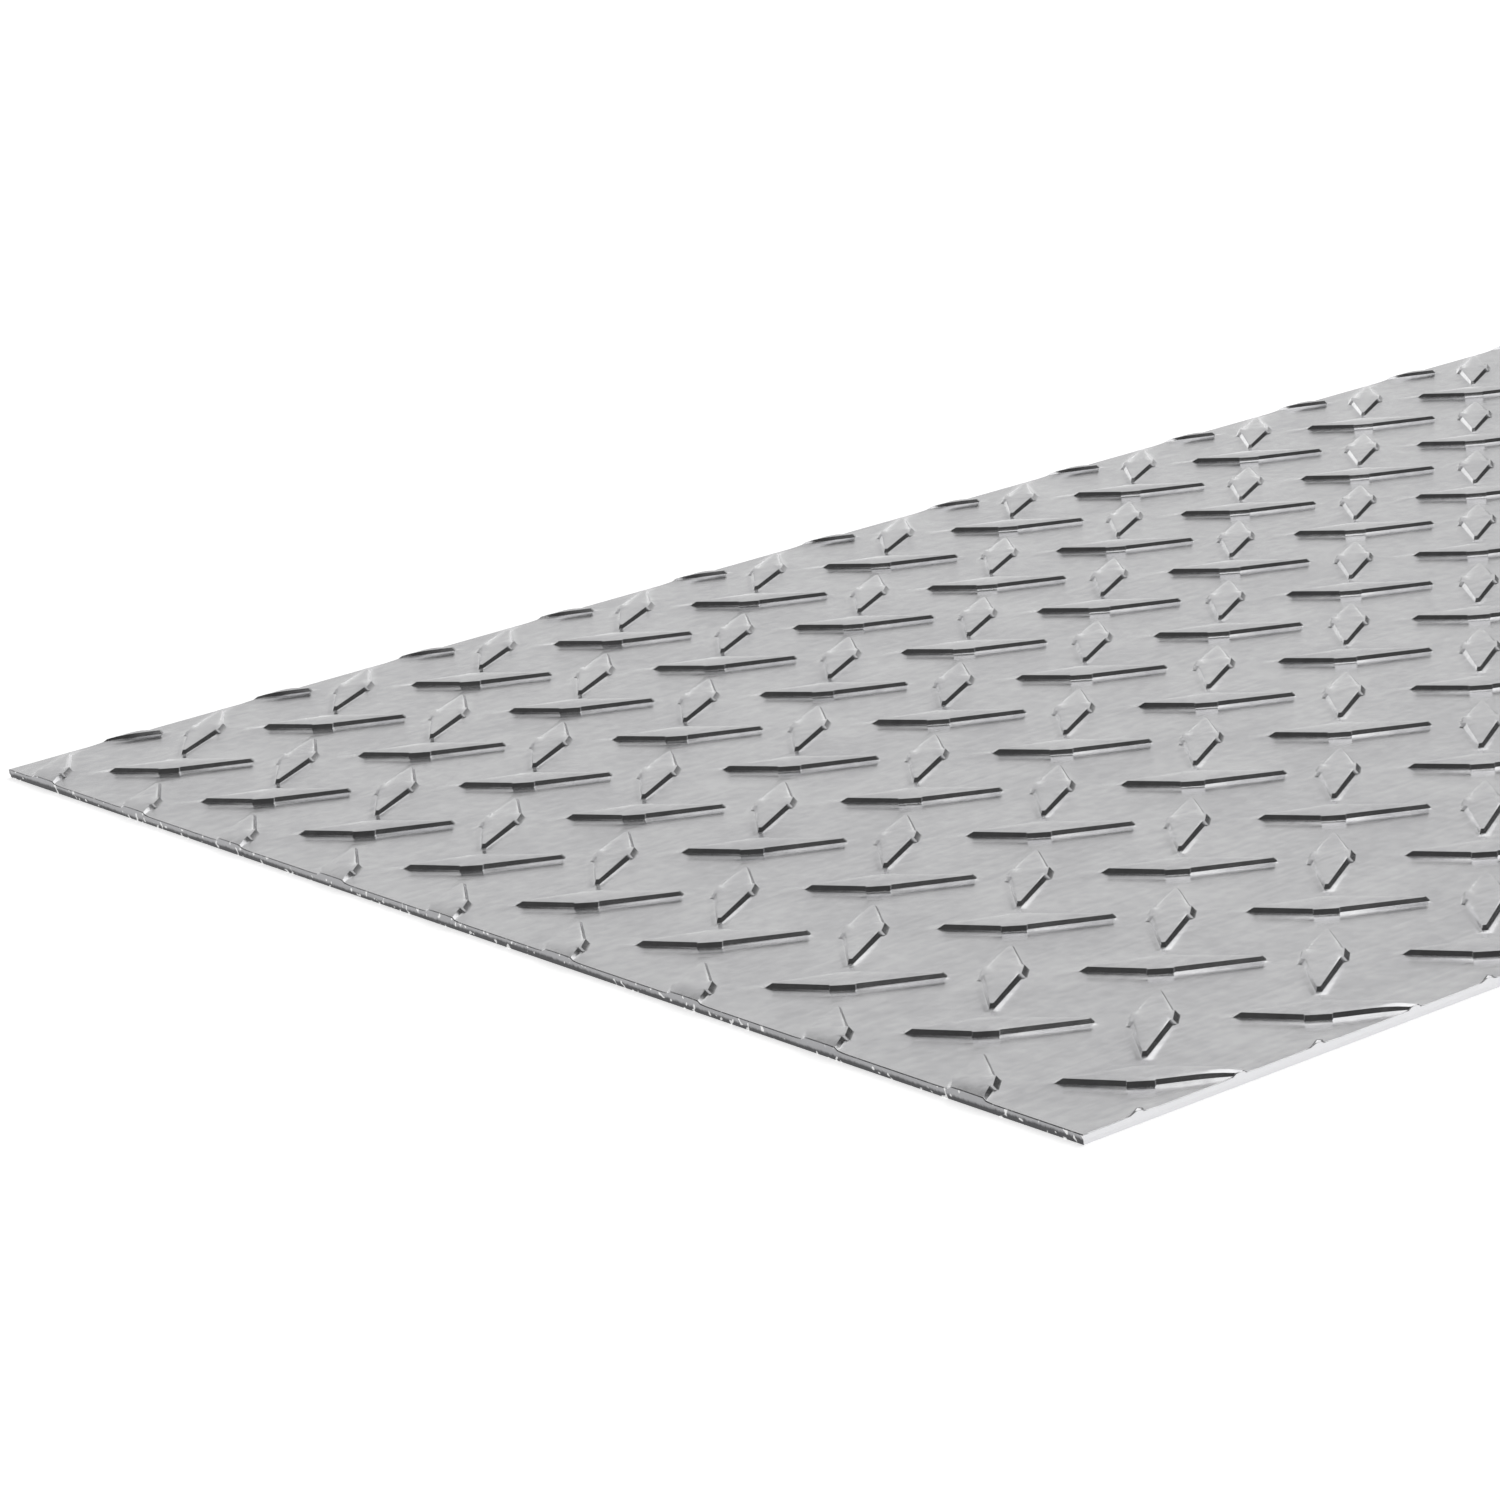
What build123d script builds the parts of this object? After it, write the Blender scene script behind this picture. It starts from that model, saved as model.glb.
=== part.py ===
from build123d import *
import math
import os

# Checker steel plate: one flat sheet of hot-rolled steel, sheared to size on four sides, with a
# pattern of raised lugs that the rolls press into its upper face. Sheet and lugs are one piece.
# Millimetres, +Z up. X runs along the sheet and Y across it. The origin is the middle of the
# flat underside, so the sheet lies on Z = 0.

# Sheet, as cut: 24 in by 12 in by 1/16 in
INCH = 25.4
SHEET_LENGTH = 24 * INCH
SHEET_WIDTH = 12 * INCH
SHEET_THICKNESS = INCH / 16

# One lug, in plan an elongated lozenge with blunt tips and a short flat at its waist
LUG_LENGTH = 30.0
LUG_WIDTH = 6.4
LUG_HEIGHT = 1.05
LUG_TIP_WIDTH = 0.7
LUG_WAIST_LENGTH = 3.9
LUG_FLANK_ANGLE = 45.0

# The pattern: rows of lugs at one angle, and between them rows at the opposite angle
LUG_ANGLE = 45.0
PITCH_ALONG = 32.04
PITCH_ACROSS = 33.35
FIRST_LUG_FROM_END = 18.42
FIRST_LUG_FROM_SIDE = 9.4


def sheet():
    """The plain sheet below the lugs."""
    return Box(
        SHEET_LENGTH, SHEET_WIDTH, SHEET_THICKNESS, align=(Align.CENTER, Align.CENTER, Align.MIN)
    )


def lug():
    """One raised lug, lying along X, its foot at Z = 0 and its flanks leaning in."""
    tip_x, tip_y = LUG_LENGTH / 2, LUG_TIP_WIDTH / 2
    waist_x, waist_y = LUG_WAIST_LENGTH / 2, LUG_WIDTH / 2
    outline = make_hull(
        Polyline((tip_x, -tip_y), (tip_x, tip_y), (waist_x, waist_y), (-waist_x, waist_y)).edges()
        + Polyline((-tip_x, tip_y), (-tip_x, -tip_y), (-waist_x, -waist_y), (waist_x, -waist_y)).edges()
    )
    return extrude(outline, amount=LUG_HEIGHT, taper=LUG_FLANK_ANGLE)


def row_places(first_x, first_y, angle):
    """Where the lugs of one angle stand: every place whose lug meets the sheet."""
    reach = LUG_LENGTH / 2
    start_x, start_y = -SHEET_LENGTH / 2 + first_x, -SHEET_WIDTH / 2 + first_y
    columns = range(-1, math.ceil(SHEET_LENGTH / PITCH_ALONG) + 1)
    rows = range(-1, math.ceil(SHEET_WIDTH / PITCH_ACROSS) + 1)
    centres = [(start_x + i * PITCH_ALONG, start_y + j * PITCH_ACROSS) for i in columns for j in rows]
    return [
        Location((x, y, SHEET_THICKNESS), (0, 0, angle))
        for x, y in centres
        if abs(x) < SHEET_LENGTH / 2 + reach and abs(y) < SHEET_WIDTH / 2 + reach
    ]


def lugs():
    """Every lug of the pattern, those at the edges cut through as the shears cut them."""
    falling = row_places(FIRST_LUG_FROM_END, FIRST_LUG_FROM_SIDE, -LUG_ANGLE)
    rising = row_places(
        FIRST_LUG_FROM_END - PITCH_ALONG / 2, FIRST_LUG_FROM_SIDE + PITCH_ACROSS / 2, LUG_ANGLE
    )
    cut = Pos(0, 0, SHEET_THICKNESS) * Box(
        SHEET_LENGTH, SHEET_WIDTH, 2 * LUG_HEIGHT, align=(Align.CENTER, Align.CENTER, Align.MIN)
    )
    one = lug()
    kept = []
    for place in falling + rising:
        standing = place * one
        box = standing.bounding_box()
        inside_ends = max(-box.min.X, box.max.X) < SHEET_LENGTH / 2
        inside_sides = max(-box.min.Y, box.max.Y) < SHEET_WIDTH / 2
        if inside_ends and inside_sides:
            kept.append(standing.solid())
        else:
            kept += (standing & cut).solids()
    return kept


def checker_plate():
    """The sheet and its lugs as the one piece of steel that they are."""
    return sheet().fuse(*lugs())


os.makedirs("parts", exist_ok=True)
plate = checker_plate()
export_step(plate, "parts/checker_plate.step")
print("solids", len(plate.solids()), "faces", len(plate.faces()), "volume", round(plate.volume))
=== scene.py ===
import math

import bmesh
import bpy
from mathutils import Matrix, Vector, noise


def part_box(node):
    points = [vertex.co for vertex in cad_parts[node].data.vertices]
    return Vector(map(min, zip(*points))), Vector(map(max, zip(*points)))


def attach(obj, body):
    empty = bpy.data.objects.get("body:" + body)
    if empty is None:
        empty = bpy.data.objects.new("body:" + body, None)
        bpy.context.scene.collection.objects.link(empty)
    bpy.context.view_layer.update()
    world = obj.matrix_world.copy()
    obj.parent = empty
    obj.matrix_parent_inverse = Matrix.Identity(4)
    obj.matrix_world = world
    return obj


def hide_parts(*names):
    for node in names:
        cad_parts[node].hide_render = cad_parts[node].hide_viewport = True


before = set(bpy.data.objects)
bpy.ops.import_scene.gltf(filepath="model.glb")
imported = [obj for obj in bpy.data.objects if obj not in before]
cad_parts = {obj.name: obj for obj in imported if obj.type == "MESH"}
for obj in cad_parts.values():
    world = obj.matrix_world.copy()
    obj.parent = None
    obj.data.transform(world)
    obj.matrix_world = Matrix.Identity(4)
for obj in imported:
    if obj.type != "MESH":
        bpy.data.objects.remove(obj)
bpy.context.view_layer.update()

# The camera looks down on the near corner of the sheet from a low height, with a long lens and a
# slight lean to the right, so that the sheet runs away to the upper right of the picture.
MM = 0.001
CAMERA_AIM = Vector((-220.35, 38.73, 1.59)) * MM
CAMERA_DISTANCE = 831.96 * MM
CAMERA_BEARING = 55.91
CAMERA_DIP = 15.57
CAMERA_LEAN = -6.86
CAMERA_LENS = 116.3
CAMERA_FILM = 36.0
CAMERA_REACH = 100.0

view = bpy.data.cameras.new("view")
view.sensor_width = CAMERA_FILM
view.lens = CAMERA_LENS
view.clip_end = CAMERA_REACH
camera = bpy.data.objects.new("view", view)
bpy.context.scene.collection.objects.link(camera)
turn = (
    Matrix.Rotation(math.radians(CAMERA_BEARING - 90.0), 4, "Z")
    @ Matrix.Rotation(math.radians(90.0 - CAMERA_DIP), 4, "X")
    @ Matrix.Rotation(math.radians(CAMERA_LEAN), 4, "Z")
)
back_off = turn @ Vector((0.0, 0.0, CAMERA_DISTANCE))
camera.matrix_world = Matrix.Translation(CAMERA_AIM + back_off) @ turn
bpy.context.scene.camera = camera

# The sheet: hot-rolled mild steel, 24 in by 12 in by 1/16 in. Its lugs are pressed up out of the
# same steel by the pattern roll, so face and lugs are one skin. It is laid here from tiles that
# carry one lug each, with a small bare square in each gap between four of them.
SHEET_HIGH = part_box("checker_plate")[1]
INCH = 25.4
SHEET_THICKNESS = INCH / 16
PITCH_ACROSS = 33.35
PITCH_ALONG = 32.04
LUG_ANGLE = 45.0
FIRST_LUG_FROM_END = 18.42
FIRST_LUG_FROM_SIDE = 9.4
SPARE_ROWS = 2

# A tile is a little wider than the foot of its lug. It is laid out on a square pattern, where the
# next lug stands on the diagonal, and is then stretched to the two pitches.
TILE_HALF_WIDTH = 5.2
TILE_TURN = Matrix.Rotation(math.radians(45.0), 3, "Z")
TILE_STRETCH = (PITCH_ALONG / PITCH_ACROSS, 1.0, 1.0)
TO_NEXT_LUG = PITCH_ACROSS * math.sqrt(0.5)
JOINED_WITHIN = 0.01

# Faces that meet at a wider angle than this are shaded apart, with a crisp line between them.
CRISP_ANGLE = 20.0

# Each level of a lug, from the flat round its foot up a wide fillet and a steep flank to the low
# dome of its crown: how far its sloping tip and its blunt tip lie from the middle, half the width of
# a tip, of the flanks beside the waist and of the small facet on the waist, and the height.
LUG_LEVELS = [
    (16.4, 16.4, 1.8, 4.9, 4.9, 0.0),
    (15.8, 15.8, 1.4, 4.3, 4.3, 0.05),
    (14.2, 15.5, 0.9, 3.75, 3.68, 0.14),
    (12.8, 15.1, 0.6, 3.3, 3.58, 0.22),
    (12.0, 14.9, 0.4, 3.1, 3.46, 0.31),
    (10.8, 14.3, 0.25, 2.58, 2.98, 0.95),
    (9.8, 13.1, 0.2, 2.12, 2.45, 0.99),
    (8.0, 10.8, 0.15, 0.9, 1.0, 1.05),
]
LUG_WAIST = 1.95
WAIST_STEP = 0.05


def lug_outline(sloping, blunt, tip, flank, waist):
    """The points of one level, round the lug: its tips, straight flanks and the facets of its waist."""
    upper = [
        (sloping, tip),
        (LUG_WAIST + WAIST_STEP, flank),
        (LUG_WAIST - WAIST_STEP, waist),
        (WAIST_STEP - LUG_WAIST, waist),
        (-WAIST_STEP - LUG_WAIST, flank),
        (-blunt, tip),
    ]
    return upper + [(x, -y) for x, y in reversed(upper)]


def mesh_of(name, shape):
    """A finished shape as a mesh of that name."""
    mesh = bpy.data.meshes.new(name)
    shape.to_mesh(mesh)
    shape.free()
    return mesh


def lug_tile():
    """One lug on its own strip of the face, which meets its neighbours edge to edge."""
    tile = bmesh.new()
    near, far = TILE_HALF_WIDTH, TO_NEXT_LUG - TILE_HALF_WIDTH
    rim = [(far, near), (near, near), (-near, near), (-far, near)]
    rim += [(-x, -y) for x, y in rim]
    rim_verts = [tile.verts.new((x, y, 0.0)) for x, y in rim]
    rim_edges = [tile.edges.new((a, b)) for a, b in zip(rim_verts, rim_verts[1:] + rim_verts[:1])]
    bmesh.ops.rotate(tile, verts=rim_verts, matrix=TILE_TURN)
    bmesh.ops.scale(tile, verts=rim_verts, vec=TILE_STRETCH)
    lug_verts = []
    ring_edges = []
    for *outline, height in LUG_LEVELS:
        ring = [tile.verts.new((x, y, height)) for x, y in lug_outline(*outline)]
        lug_verts += ring
        ring_edges.append([tile.edges.new((a, b)) for a, b in zip(ring, ring[1:] + ring[:1])])
    for low, high in zip(ring_edges, ring_edges[1:]):
        bmesh.ops.bridge_loops(tile, edges=low + high)
    tile.faces.new(ring)
    lug_turn = Matrix.Rotation(math.radians(LUG_ANGLE), 3, "Z")
    bmesh.ops.rotate(tile, verts=lug_verts, matrix=lug_turn)
    bmesh.ops.triangle_fill(tile, use_beauty=True, edges=rim_edges + ring_edges[0], normal=(0, 0, 1))
    bmesh.ops.recalc_face_normals(tile, faces=tile.faces)
    return mesh_of("lug_tile", tile)


def bare_tile():
    """The bare square left between four lugs."""
    tile = bmesh.new()
    side = TO_NEXT_LUG - 2 * TILE_HALF_WIDTH
    bmesh.ops.create_grid(tile, x_segments=1, y_segments=1, size=side / 2)
    bmesh.ops.rotate(tile, verts=tile.verts, matrix=TILE_TURN)
    bmesh.ops.scale(tile, verts=tile.verts, vec=TILE_STRETCH)
    return mesh_of("bare_tile", tile)


half_x = SHEET_HIGH.x / MM
half_y = SHEET_HIGH.y / MM
half_along, half_across = PITCH_ALONG / 2, PITCH_ACROSS / 2
sheet = bmesh.new()
rising = lug_tile()
falling = rising.copy()
falling.transform(Matrix.Scale(-1.0, 4, (1, 0, 0)))
falling.flip_normals()
bare = bare_tile()
for column in range(-SPARE_ROWS, math.ceil(2 * half_x / PITCH_ALONG) + SPARE_ROWS):
    for row in range(-SPARE_ROWS, math.ceil(2 * half_y / PITCH_ACROSS) + SPARE_ROWS):
        x = -half_x + FIRST_LUG_FROM_END + column * PITCH_ALONG
        y = -half_y + FIRST_LUG_FROM_SIDE + row * PITCH_ACROSS
        places = [
            (falling, x, y),
            (rising, x + half_along, y + half_across),
            (bare, x + half_along, y),
            (bare, x, y + half_across),
        ]
        for tile, at_x, at_y in places:
            tile.transform(Matrix.Translation((at_x, at_y, SHEET_THICKNESS)))
            sheet.from_mesh(tile)
            tile.transform(Matrix.Translation((-at_x, -at_y, -SHEET_THICKNESS)))
bmesh.ops.remove_doubles(sheet, verts=sheet.verts, dist=JOINED_WITHIN)
for edge in sheet.edges:
    edge.smooth = edge.calc_face_angle(0.0) < math.radians(CRISP_ANGLE)

# The four edges are cut through whatever lugs they meet, and the blade presses those lugs lower
# towards the cut. It rounds the top corner over and burnishes a smooth band; the rest of the
# thickness tears off, rough and leaning in a little, down to the underside.
EDGE_ROLL = 0.12
EDGE_STEP = 1.0
CUT_TOLERANCE = 0.0001
CRUSH_STEPS = (3.0, 2.0, 1.0)
CRUSHED_BY = 0.5
EDGE_RAGGEDNESS = 0.16
TEARS_PER_MM = 0.9
END_FACING = 0.7

# Each level of an edge, from the rolled corner down: how far it stands out from the cut, its height
# over the underside, or None for just under the corner wherever that is, and how ragged it is.
EDGE_LEVELS = [
    (EDGE_ROLL, None, 0.0),
    (EDGE_ROLL, 0.85, 1.0),
    (0.0, 0.45, 0.6),
    (-0.05, 0.1, 0.4),
    (-0.15, 0.0, 0.0),
]

# Lines are cut inside the edges too, so that the pressed lugs can slope down to the cut.
cut_x, cut_y = half_x - EDGE_ROLL, half_y - EDGE_ROLL
for outward in (Vector((1, 0, 0)), Vector((-1, 0, 0)), Vector((0, 1, 0)), Vector((0, -1, 0))):
    cut = outward * (cut_x if outward.x else cut_y)
    for inset in CRUSH_STEPS + (0.0,):
        bmesh.ops.bisect_plane(
            sheet,
            geom=sheet.verts[:] + sheet.edges[:] + sheet.faces[:],
            dist=CUT_TOLERANCE,
            plane_co=cut - outward * inset,
            plane_no=outward,
            clear_outer=inset == 0.0,
        )
for v in sheet.verts:
    inside = min(cut_x - abs(v.co.x), cut_y - abs(v.co.y))
    nearness = max(0.0, 1.0 - inside / CRUSH_STEPS[0])
    v.co.z -= (v.co.z - SHEET_THICKNESS) * CRUSHED_BY * nearness ** 2
for edge in [e for e in sheet.edges if e.is_boundary]:
    pieces = math.floor(edge.calc_length() / EDGE_STEP)
    if pieces > 1:
        bmesh.ops.subdivide_edges(sheet, edges=[edge], cuts=pieces - 1)
rim = [e for e in sheet.edges if e.is_boundary]
for edge in rim:
    edge.smooth = False
edge_faces = []
for outward, height, ragged in EDGE_LEVELS:
    grown = bmesh.ops.extrude_edge_only(sheet, edges=rim)["geom"]
    rim = [g for g in grown if isinstance(g, bmesh.types.BMEdge) and g.is_boundary]
    edge_faces += [g for g in grown if isinstance(g, bmesh.types.BMFace)]
    for v in [g for g in grown if isinstance(g, bmesh.types.BMVert)]:
        tear = ragged * EDGE_RAGGEDNESS * noise.noise(v.co * TEARS_PER_MM)
        if abs(v.co.x) > cut_x - EDGE_STEP / 2:
            v.co.x = math.copysign(cut_x + outward - abs(tear), v.co.x)
        if abs(v.co.y) > cut_y - EDGE_STEP / 2:
            v.co.y = math.copysign(cut_y + outward - abs(tear), v.co.y)
        v.co.z = (v.co.z - EDGE_ROLL if height is None else height) + tear
bmesh.ops.holes_fill(sheet, edges=rim, sides=0)
bmesh.ops.recalc_face_normals(sheet, faces=sheet.faces)
for face in sheet.faces:
    face.smooth = True

# The two ends are sheared and the two long sides slit, and each cut has its own finish, whose
# colours also carry painted shade on the ends and painted light on the sides.
SHEARED, SLIT = 1, 2
for face in edge_faces:
    face.material_index = SHEARED if abs(face.normal.x) > END_FACING else SLIT
bmesh.ops.scale(sheet, verts=sheet.verts, vec=(MM, MM, MM))
skin = mesh_of("tread_sheet", sheet)
tread_sheet = bpy.data.objects.new("tread_sheet", skin)
bpy.context.scene.collection.objects.link(tread_sheet)


def colour(srgb):
    """An sRGB hex colour as the linear values that Blender's sockets take."""
    channels = [int(srgb[i:i + 2], 16) / 255 for i in (0, 2, 4)]
    return [c / 12.92 if c <= 0.04045 else ((c + 0.055) / 1.055) ** 2.4 for c in channels] + [1.0]


def add(tree, kind, feeds, **settings):
    """Adds a node with its settings, each socket fed by a value or by another node's output."""
    made = tree.nodes.new(kind)
    for name, value in settings.items():
        setattr(made, name, value)
    for socket, feed in feeds.items():
        if isinstance(feed, bpy.types.NodeSocket):
            tree.links.new(feed, made.inputs[socket])
        else:
            made.inputs[socket].default_value = feed
    return made


def bare_steel(name):
    """A new finish of bare, unpainted steel, with its nodes, its shader and the place on the sheet."""
    made = bpy.data.materials.new(name)
    made.use_nodes = True
    shader = made.node_tree.nodes["Principled BSDF"]
    shader.inputs["Metallic"].default_value = 1.0
    place = add(made.node_tree, "ShaderNodeTexCoord", {}).outputs["Object"]
    return made, made.node_tree, shader, place


# Mill-finish steel, hot-rolled and left bare. The rolls leave fine streaks along the sheet, specks
# and faint cloudy patches, so it looks pale grey with a soft and slightly uneven sheen, the same on
# the face and on the lugs. The real grain is finer and is drawn coarser here so that it shows.
CLOUD_SIZE = 16.0
STREAK_LENGTH = 30.0
STREAK_WIDTH = 1.1
STREAK_SHARE = 0.6
SPECK_SIZE = 2.4
SPECK_SHARE = 0.8
GRAIN_SIZE = 0.7
GRAIN_DEPTH = 0.02
DARK_PATCH, PALE_PATCH = colour("bcbcbe"), colour("d0d0d1")
mill_steel, tree, shader, place = bare_steel("mill_steel")
long, thin = 1 / (STREAK_LENGTH * MM), 1 / (STREAK_WIDTH * MM)
along = add(tree, "ShaderNodeMapping", {"Vector": place, "Scale": (long, thin, thin)}).outputs["Vector"]
clouds = add(tree, "ShaderNodeTexNoise", {"Vector": place, "Scale": 1 / (CLOUD_SIZE * MM), "Detail": 4.0})
streaks = add(tree, "ShaderNodeTexNoise", {"Vector": along, "Scale": 1.0, "Detail": 3.0})
grain = add(tree, "ShaderNodeTexNoise", {"Vector": place, "Scale": 1 / (GRAIN_SIZE * MM), "Detail": 2.0})
specks = add(tree, "ShaderNodeTexNoise", {"Vector": place, "Scale": 1 / (SPECK_SIZE * MM), "Detail": 2.0})
patchy = add(
    tree, "ShaderNodeMath",
    {0: specks.outputs["Fac"], 1: SPECK_SHARE, 2: clouds.outputs["Fac"]}, operation="MULTIPLY_ADD",
)
tone = add(
    tree, "ShaderNodeMath",
    {0: streaks.outputs["Fac"], 1: STREAK_SHARE, 2: patchy.outputs[0]}, operation="MULTIPLY_ADD",
)
tint = add(tree, "ShaderNodeMapRange", {"Value": tone.outputs[0], "From Min": 0.9, "From Max": 1.5})
steel = add(
    tree, "ShaderNodeMix",
    {"Factor": tint.outputs[0], "A": DARK_PATCH, "B": PALE_PATCH}, data_type="RGBA",
)
worn = add(tree, "ShaderNodeMapRange", {"Value": streaks.outputs["Fac"], "To Min": 0.18, "To Max": 0.27})
relief = add(
    tree, "ShaderNodeMath",
    {0: streaks.outputs["Fac"], 1: grain.outputs["Fac"]}, operation="ADD",
)
bump = add(
    tree, "ShaderNodeBump",
    {"Height": relief.outputs[0], "Strength": 0.35, "Distance": GRAIN_DEPTH * MM},
)
tree.links.new(steel.outputs["Result"], shader.inputs["Base Color"])
tree.links.new(worn.outputs["Result"], shader.inputs["Roughness"])
tree.links.new(bump.outputs["Normal"], shader.inputs["Normal"])
skin.materials.append(mill_steel)

# Sheared steel, on the two ends: a narrow burnished band under the top corner and below it torn
# metal, which is dull. Both are coloured dark grey, partly as painted shade, and a few small spots
# are painted pale as painted glints. The blade drags short upright marks down it, which are finer on
# real steel and are drawn coarser here so that they show.
DRAG_MARK_WIDTH = 0.5
DRAG_MARK_HEIGHT = 2.5
TORN_DRAG_DEPTH = 0.08
CHIP_GLINT_SIZE = 0.9
# Both greys are partly painted shade, darker than the slit sides, and the pale spot colour is a painted
# glint.
BURNISHED_IN_SHADE, TORN_IN_SHADE, CHIP_GLINT = colour("a0a0a2"), colour("5c5c5e"), colour("e4e4e4")

# The band's lower line frays with the drag marks and wanders along the edge. Both are added to the
# height of a point, and the metal is torn where the sum is under these levels.
FRINGE_HEIGHT = 0.6
TEAR_LENGTH = 60.0
TEAR_HEIGHT = 1.6
TORN_BELOW = 2.1
TORN_FULLY_BELOW = 1.7


def drag_marks(tree, place):
    """The short upright marks that a blade drags down a cut edge."""
    thin, tall = 1 / (DRAG_MARK_WIDTH * MM), 1 / (DRAG_MARK_HEIGHT * MM)
    upright = add(
        tree, "ShaderNodeMapping", {"Vector": place, "Scale": (thin, thin, tall)},
    ).outputs["Vector"]
    return add(tree, "ShaderNodeTexNoise", {"Vector": upright, "Scale": 1.0, "Detail": 3.0})


sheared_steel, tree, shader, place = bare_steel("sheared_steel")
drag = drag_marks(tree, place)
wander = add(tree, "ShaderNodeTexNoise", {"Vector": place, "Scale": 1 / (TEAR_LENGTH * MM), "Detail": 1.0})
height = add(tree, "ShaderNodeSeparateXYZ", {"Vector": place}).outputs["Z"]
fringe = add(
    tree, "ShaderNodeMath",
    {0: drag.outputs["Fac"], 1: FRINGE_HEIGHT * MM, 2: height}, operation="MULTIPLY_ADD",
)
torn_line = add(
    tree, "ShaderNodeMath",
    {0: wander.outputs["Fac"], 1: TEAR_HEIGHT * MM, 2: fringe.outputs[0]}, operation="MULTIPLY_ADD",
)
torn = add(
    tree, "ShaderNodeMapRange",
    {"Value": torn_line.outputs[0], "From Min": TORN_BELOW * MM, "From Max": TORN_FULLY_BELOW * MM},
)
# The burnished band and the torn metal, in greys that are partly painted shade.
cut_metal_in_shade = add(
    tree, "ShaderNodeMix",
    {"Factor": torn.outputs[0], "A": BURNISHED_IN_SHADE, "B": TORN_IN_SHADE}, data_type="RGBA",
)
# Small scattered spots of painted glint, coloured pale over the painted shade of the cut.
chip_glints = add(tree, "ShaderNodeTexNoise", {"Vector": place, "Scale": 1 / (CHIP_GLINT_SIZE * MM), "Detail": 0.0})
bright = add(
    tree, "ShaderNodeMapRange",
    {"Value": chip_glints.outputs["Fac"], "From Min": 0.7, "From Max": 0.74},
)
shaded_metal_with_glints = add(
    tree, "ShaderNodeMix",
    {"Factor": bright.outputs[0], "A": cut_metal_in_shade.outputs["Result"], "B": CHIP_GLINT}, data_type="RGBA",
)
dull = add(tree, "ShaderNodeMapRange", {"Value": torn.outputs[0], "To Min": 0.3, "To Max": 0.5})
bump = add(
    tree, "ShaderNodeBump",
    {"Height": drag.outputs["Fac"], "Strength": 0.6, "Distance": TORN_DRAG_DEPTH * MM},
)
tree.links.new(shaded_metal_with_glints.outputs["Result"], shader.inputs["Base Color"])
tree.links.new(dull.outputs["Result"], shader.inputs["Roughness"])
tree.links.new(bump.outputs["Normal"], shader.inputs["Normal"])
skin.materials.append(sheared_steel)

# Slit steel, on the two long sides, which come off the slitting line: cut clean, with the same
# upright drag marks but only half as deep. Their pale colour is partly painted light, paler than the ends.
SLIT_DRAG_DEPTH = 0.04
slit_steel, tree, shader, place = bare_steel("slit_steel")
shader.inputs["Base Color"].default_value = colour("e0e0e2")
shader.inputs["Roughness"].default_value = 0.28
drag = drag_marks(tree, place)
bump = add(
    tree, "ShaderNodeBump",
    {"Height": drag.outputs["Fac"], "Strength": 0.3, "Distance": SLIT_DRAG_DEPTH * MM},
)
tree.links.new(bump.outputs["Normal"], shader.inputs["Normal"])
skin.materials.append(slit_steel)

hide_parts("checker_plate")
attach(tread_sheet, "root")

# The floor is a plain white studio table with a dead matt top. It shows as white in the picture and
# glows faintly in the metal, and it keeps the sheet's own soft shadow.
FLOOR_REACH = 30.0
FLOOR_GLOW = 0.62
table = bmesh.new()
bmesh.ops.create_circle(table, cap_ends=True, segments=64, radius=FLOOR_REACH)
table_top = mesh_of("floor", table)
floor = bpy.data.objects.new("floor", table_top)
bpy.context.scene.collection.objects.link(floor)
floor_white = bpy.data.materials.new("floor_white")
floor_white.use_nodes = True
tree = floor_white.node_tree
shader = tree.nodes["Principled BSDF"]
shader.inputs["Base Color"].default_value = colour("f4f4f4")
shader.inputs["Roughness"].default_value = 0.9
shader.inputs["Specular IOR Level"].default_value = 0.0
shader.inputs["Emission Color"].default_value = (1, 1, 1, 1)
ray = add(tree, "ShaderNodeLightPath", {})
seen = add(
    tree, "ShaderNodeMath",
    {0: ray.outputs["Is Camera Ray"], 1: ray.outputs["Is Glossy Ray"]}, operation="MAXIMUM",
)
glow = add(tree, "ShaderNodeMath", {0: seen.outputs[0], 1: FLOOR_GLOW}, operation="MULTIPLY")
tree.links.new(glow.outputs[0], shader.inputs["Emission Strength"])
table_top.materials.append(floor_white)

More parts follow.
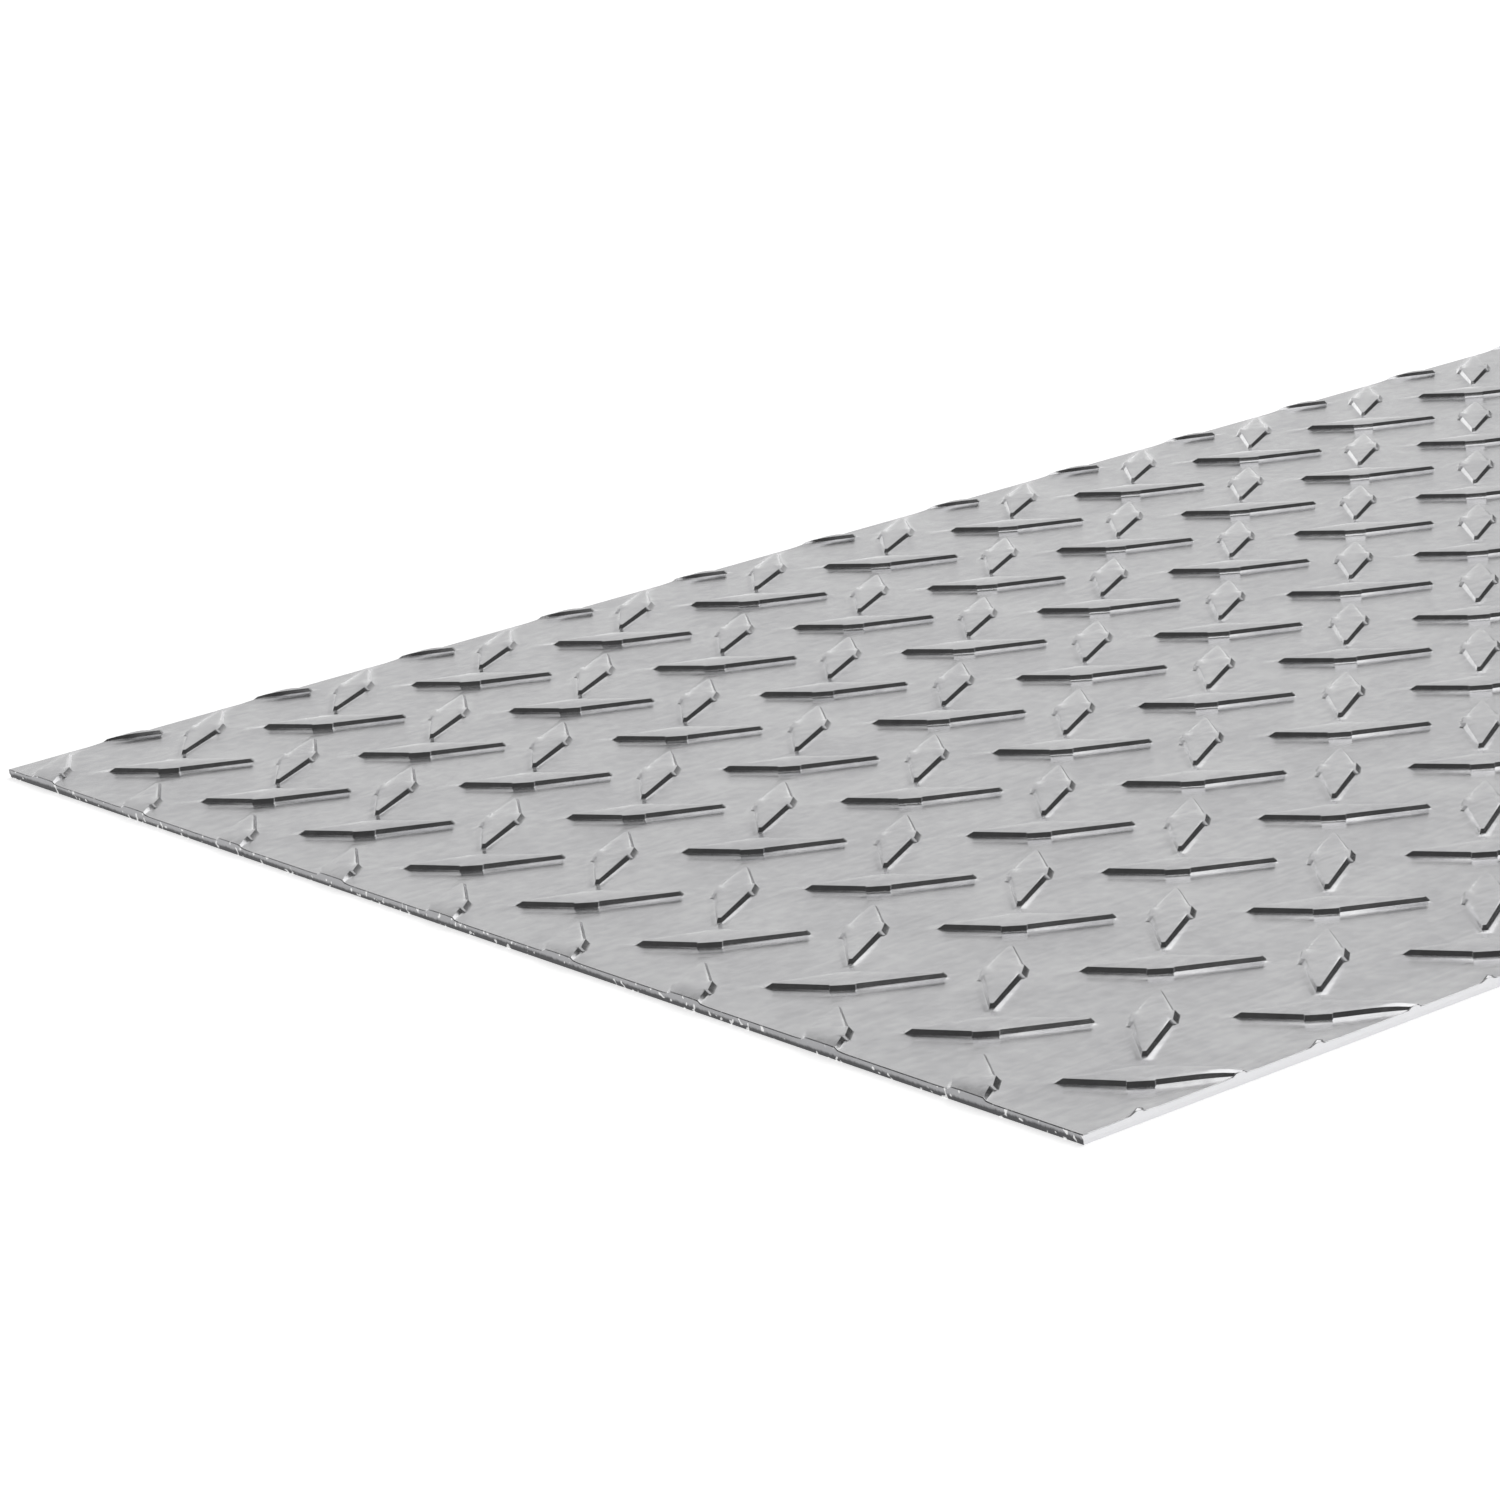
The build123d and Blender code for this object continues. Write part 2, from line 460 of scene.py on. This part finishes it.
# Soft panels stand round the table and hang over it. Each is placed in metres to the right, to the
# back and up, as seen from the picture's side, from the middle of what the picture shows. Its width,
# height and radiance follow, and last the way that its dark back is turned, on the same three axes.
SHOWN_MIDDLE = Vector((-0.15, 0.0, 0.0))
swing = Matrix.Rotation(math.radians(CAMERA_BEARING - 90.0), 3, "Z")


def softbox(name, place, width, height, radiance, back):
    """A soft panel that shines on the sheet and shows in its sheen, but not in the picture."""
    lamp = bpy.data.lights.new(name, "AREA")
    lamp.shape = "RECTANGLE"
    lamp.size, lamp.size_y = width, height
    lamp.energy = radiance * math.pi * width * height
    panel = bpy.data.objects.new(name, lamp)
    pose = (swing @ Vector(back).to_track_quat("Z", "Y").to_matrix()).to_4x4()
    panel.matrix_world = Matrix.Translation(SHOWN_MIDDLE + swing @ Vector(place)) @ pose
    panel.visible_camera = False
    bpy.context.scene.collection.objects.link(panel)


# The face mirrors the panels at the back. The foot of a near flank mirrors those above, and its
# steep part the dark room past them, which draws the dark strokes beside the lugs.
softbox("back_panel", (-2.85, 4.0, 1.5), 8.1, 3.0, 0.72, (0, 1, 0))
softbox("low_panel", (-1.25, 3.9, 0.16), 3.9, 0.28, 1.0, (0, 1, 0))
softbox("back_right_panel", (1.6, 4.0, 1.5), 0.8, 3.0, 0.66, (0, 1, 0))
softbox("top_panel", (1.25, 1.25, 2.0), 2.2, 2.9, 1.6, (0, 0, 1))
softbox("top_near_panel", (-0.1, 0.28, 2.0), 0.5, 0.95, 1.6, (0, 0, 1))
softbox("top_left_panel", (-0.6, 1.9, 2.0), 1.4, 0.9, 0.5, (0, 0, 1))
# These light the table and the cut edges, and the face mirrors them from the other sides.
softbox("right_panel", (4.5, -1.5, 1.5), 5.0, 3.0, 0.7, (1, 0, 0))
softbox("front_panel", (0.0, -4.5, 1.5), 8.0, 3.0, 0.7, (0, -1, 0))
softbox("left_panel", (-4.5, -1.0, 1.5), 7.0, 3.0, 0.7, (-1, 0, 0))

# The rest of the room is dark.
ROOM_GREY = 0.06
room = bpy.data.worlds.new("studio")
room.use_nodes = True
background = room.node_tree.nodes["Background"]
background.inputs["Color"].default_value = (ROOM_GREY, ROOM_GREY, ROOM_GREY, 1)
background.inputs["Strength"].default_value = 1.0
bpy.context.scene.world = room
bpy.context.scene.view_settings.view_transform = "Standard"
